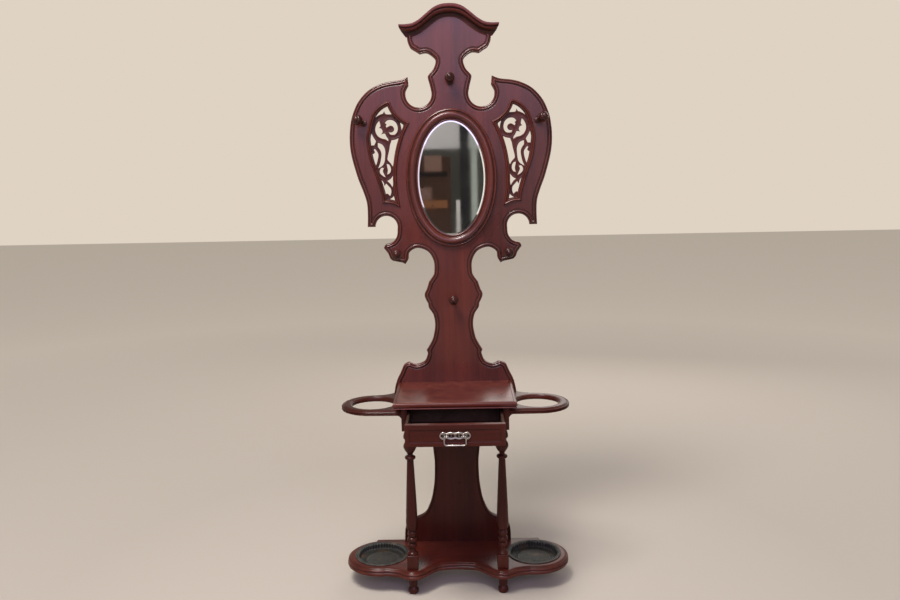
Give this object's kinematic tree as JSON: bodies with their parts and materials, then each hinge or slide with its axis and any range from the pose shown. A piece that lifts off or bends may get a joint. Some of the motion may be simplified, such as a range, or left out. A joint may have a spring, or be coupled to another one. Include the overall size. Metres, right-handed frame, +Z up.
{
  "type": "hall stand",
  "caption": "Victorian mahogany hall stand with oval bevelled mirror, pierced fretwork wings, turned hat pegs, drawer, umbrella rings and cast iron drip pans.",
  "frame": {"origin": "on the floor, in the middle of the width, midway between the wall face and the pull of the open drawer", "axes": "+X to the viewer's right, +Y towards the wall, +Z up"},
  "size_m": [0.883, 0.513, 2.24],
  "materials": {
    "mahogany": "french polished, glossy",
    "dark_mahogany": "french polished, darker",
    "drawer_wood": "plain planed wood",
    "mirror": "silvered bevelled glass",
    "cast_iron": "dark grey-green, dull",
    "pull_metal": "aged nickel plate"
  },
  "bodies": {
    "stand": {"back_centre_board": "mahogany", "back_shoulder_left": "mahogany", "back_shoulder_right": "mahogany", "back_wing_left": "mahogany", "back_wing_right": "mahogany", "base_shelf": "mahogany", "case_back": "mahogany", "case_floor": "mahogany", "case_side_left": "mahogany", "case_side_right": "mahogany", "crest_block_left": "mahogany", "crest_block_right": "mahogany", "crest_moulding": "mahogany", "drawer_rail": "mahogany", "foot_front_left": "mahogany", "foot_front_right": "mahogany", "foot_rear_left": "mahogany", "foot_rear_right": "mahogany", "fret_panel_left": "dark_mahogany", "fret_panel_right": "dark_mahogany", "front_leg_left": "mahogany", "front_leg_right": "mahogany", "hat_peg_crest": "dark_mahogany", "hat_peg_ear_left": "dark_mahogany", "hat_peg_ear_right": "dark_mahogany", "hat_peg_neck": "dark_mahogany", "hat_peg_wing_left": "dark_mahogany", "hat_peg_wing_right": "dark_mahogany", "kicker_left": "mahogany", "kicker_right": "mahogany", "lower_back_panel": "mahogany", "mirror_backing": "drawer_wood", "mirror_frame": "mahogany", "mirror_glass": "mirror", "table_top": "mahogany", "umbrella_ring_left": "mahogany", "umbrella_ring_right": "mahogany", "window_moulding_left": "mahogany", "window_moulding_right": "mahogany"},
    "drawer": {"drawer_front": "mahogany", "drawer_side_left": "drawer_wood", "drawer_side_right": "drawer_wood", "drawer_back": "drawer_wood", "drawer_floor": "drawer_wood", "pull_plate": "pull_metal", "pull_post_left": "pull_metal", "pull_post_right": "pull_metal"},
    "bail": {"pull_bail": "pull_metal"},
    "left_pan": {"drip_pan_left": "cast_iron"},
    "right_pan": {"drip_pan_right": "cast_iron"}
  },
  "joints": [
    {"name": "drawer_slide", "type": "slide", "parent": "stand", "child": "drawer", "axis": [0, -1, 0], "range_m": [-0.188, 0.02]},
    {"name": "bail_swing", "type": "hinge", "parent": "drawer", "child": "bail", "pos_m": [0, -0.2515, 0.7019], "axis": [1, 0, 0], "range_deg": [-110, 18]},
    {"name": "left_pan_lift", "type": "slide", "parent": "stand", "child": "left_pan", "axis": [0, 0, 1], "range_m": [0, 0.12]},
    {"name": "right_pan_lift", "type": "slide", "parent": "stand", "child": "right_pan", "axis": [0, 0, 1], "range_m": [0, 0.12]}
  ]
}
